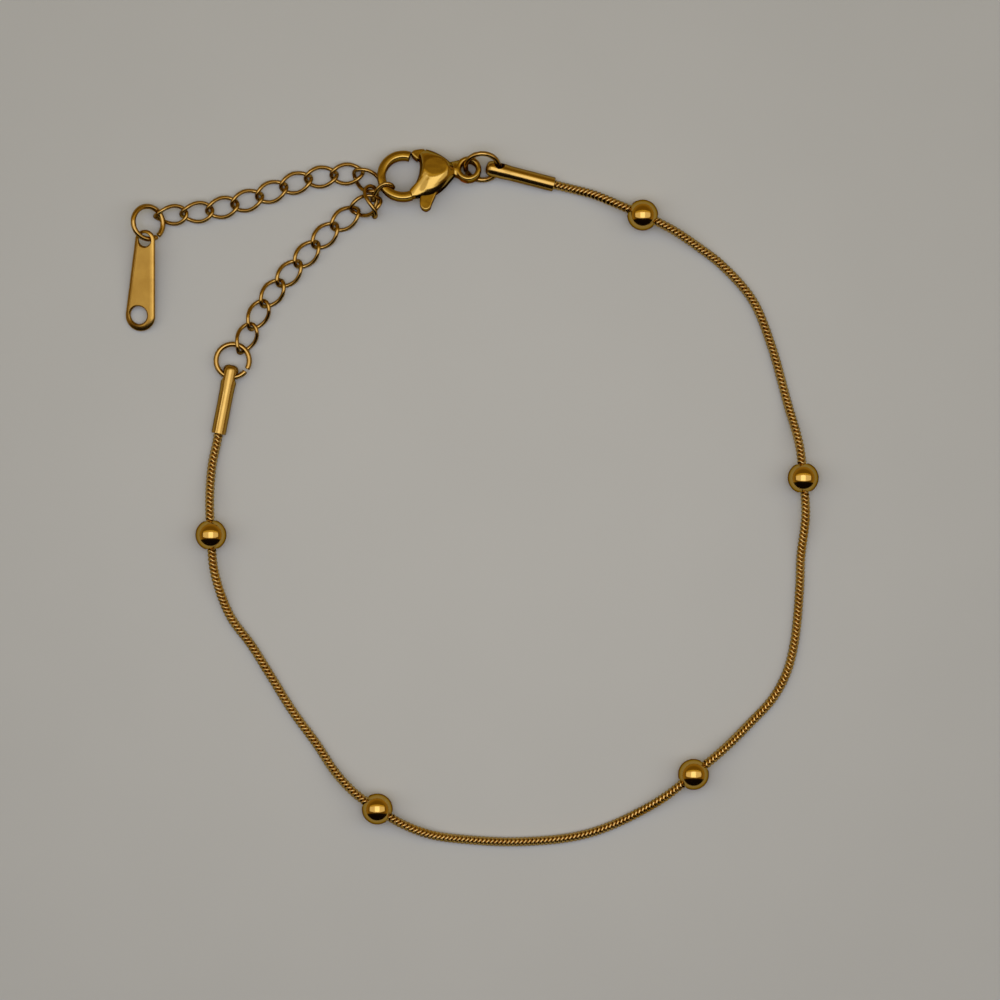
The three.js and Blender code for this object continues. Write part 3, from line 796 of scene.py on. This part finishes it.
def build_clasp_lever():
    nose = [(-2.2, 1.72), (-2.04, 1.98), (-1.8, 2.1), (-1.4, 2.16), (-0.93, 2.15), (-0.75, 1.72),
            (-1.2, 0.92)]
    arm = [(-2.08, 1.72), (-1.8, 2.08), (-0.93, 2.1), (-0.3, 0.9), (-0.29, 0.2), (-1.2, 0.94)]
    tab = [(-0.45, 0.2), (-0.86, -1.1), (-1.26, -2.4), (-1.34, -3.3), (-1.15, -3.8), (-0.75, -4.0),
           (-0.35, -3.8), (-0.12, -3.2), (0.28, -2.2), (0.46, -1.3), (0.05, 0.25)]
    thick = LEVER["thickness"]
    block = mesh_object("lever_nose", plate(smooth_points(nose, 40), LEVER["nose"], 0.18))
    carve(block, [mesh_object("nose_clear", plate(round_outline(NOSE_INNER, PIVOT), THROUGH))])
    lever = mesh_object("clasp_lever_thumb", plate(smooth_points(tab, 60), thick, 0.13))
    carve(lever, [mesh_object("arm", plate(arm, thick)), block,
                  mesh_object("boss", plate(round_outline(LEVER["boss"] / 2, PIVOT), thick))],
          "UNION")
    carve(lever, [mesh_object("bore", plate(round_outline(LEVER["bore"] / 2, PIVOT), THROUGH))])
    lever.data.transform(in_metres(clasp_placed()))
    reshade(lever, clasp_gold)
    declare(lever, "clasp_gold", "clasp_lever", body=LEVER_BODY)


build_chain()
build_beads()
build_cap("left_end_cap", "end_cap_left", LEFT_CAP)
build_cap("right_end_cap", "end_cap_right", RIGHT_CAP)
for ring_name, ring_place in RINGS.items():
    build_ring(ring_name, ring_place)
build_extender()
build_tag()
build_clasp_body()
build_clasp_lever()


# ---- surface, lights and camera ----
# Linear colours of the room as the metal sees it; lengths here are in metres.
ROOM = {"walls": (0.2, 0.12, 0.015, 1), "low_walls": (0.36, 0.24, 0.05, 1),
        "unlit": (0.006, 0.004, 0.003, 1), "backdrop": (0.36, 0.35, 0.33, 1)}
CAMERA = {"at": (0.00276, -0.00019, 0.4), "view_width": 0.097, "sensor_mm": 36}
LAMPS = {
    "wide_strip": {"at": (0, -0.01, 0.5), "size": (1.6, 0.42), "radiance": (0.86, 0.86, 0.95)},
    "core_panel": {"at": (0, 0.0, 0.49), "size": (0.3, 0.36), "radiance": (0.95, 1.02, 1.5)},
    "dim_strip": {"at": (0, 0.275, 0.5), "size": (1.6, 0.15), "radiance": (0.5, 0.4, 0.1)},
}


def build_floor():
    bm = bmesh.new()
    bmesh.ops.create_grid(bm, x_segments=1, y_segments=1, size=0.9)
    floor = mesh_object("paper_board", bm, paper_surface(), to_metres=False)


def add_area(name, at, size, radiance):
    """A level panel that faces down, given by how bright it looks from below."""
    light = bpy.data.lights.new(name, "AREA")
    light.shape = "RECTANGLE"
    light.size, light.size_y = size
    light.energy = math.pi * size[0] * size[1]
    light.color = radiance
    lamp = bpy.data.objects.new(name, light)
    lamp.location = Vector(at)
    bpy.context.scene.collection.objects.link(lamp)


def build_world():
    """A dim warm room with one unlit side, and a plain pale backdrop where the camera sees past it."""
    world = bpy.data.worlds.new("room")
    bpy.context.scene.world = world
    world.use_nodes = True
    tree = world.node_tree
    tree.nodes.clear()
    place = node(tree, "ShaderNodeTexCoord")
    parts = node(tree, "ShaderNodeSeparateXYZ", links={"Vector": (place, "Generated")})
    unlit = node(tree, "ShaderNodeMapRange", {"interpolation_type": "SMOOTHSTEP"},
                 links={"Value": (parts, "Y")}, From_Min=-0.5, From_Max=-0.38, To_Min=1.0, To_Max=0.0)
    low = node(tree, "ShaderNodeMapRange", {"interpolation_type": "SMOOTHSTEP"},
               links={"Value": (parts, "Z")}, From_Min=0.12, From_Max=0.5, To_Min=1.0, To_Max=0.0)
    lit = node(tree, "ShaderNodeMix", {"data_type": "RGBA"}, links={"Factor": (low, "Result")})
    lit.inputs[COLOUR_A].default_value = ROOM["walls"]
    lit.inputs[COLOUR_B].default_value = ROOM["low_walls"]
    walls = node(tree, "ShaderNodeMix", {"data_type": "RGBA"},
                 links={"Factor": (unlit, "Result"), "A": (lit, COLOUR_OUT)})
    walls.inputs[COLOUR_B].default_value = ROOM["unlit"]
    seen = node(tree, "ShaderNodeLightPath")
    shown = node(tree, "ShaderNodeMix", {"data_type": "RGBA"},
                 links={"Factor": (seen, "Is Camera Ray"), "A": (walls, COLOUR_OUT)})
    shown.inputs[COLOUR_B].default_value = ROOM["backdrop"]
    back = node(tree, "ShaderNodeBackground", Strength=1.0, links={"Color": (shown, COLOUR_OUT)})
    node(tree, "ShaderNodeOutputWorld", links={"Surface": (back, "Background")})


build_floor()
build_world()
for lamp_name, lamp in LAMPS.items():
    add_area(lamp_name, **lamp)

camera = bpy.data.objects.new("camera", bpy.data.cameras.new("camera"))
camera.location = CAMERA["at"]
camera.data.sensor_width = CAMERA["sensor_mm"]
camera.data.lens = CAMERA["sensor_mm"] * CAMERA["at"][2] / CAMERA["view_width"]
camera.data.clip_start = 0.01
bpy.context.scene.collection.objects.link(camera)
bpy.context.scene.camera = camera
bpy.context.scene.view_settings.view_transform = "Standard"
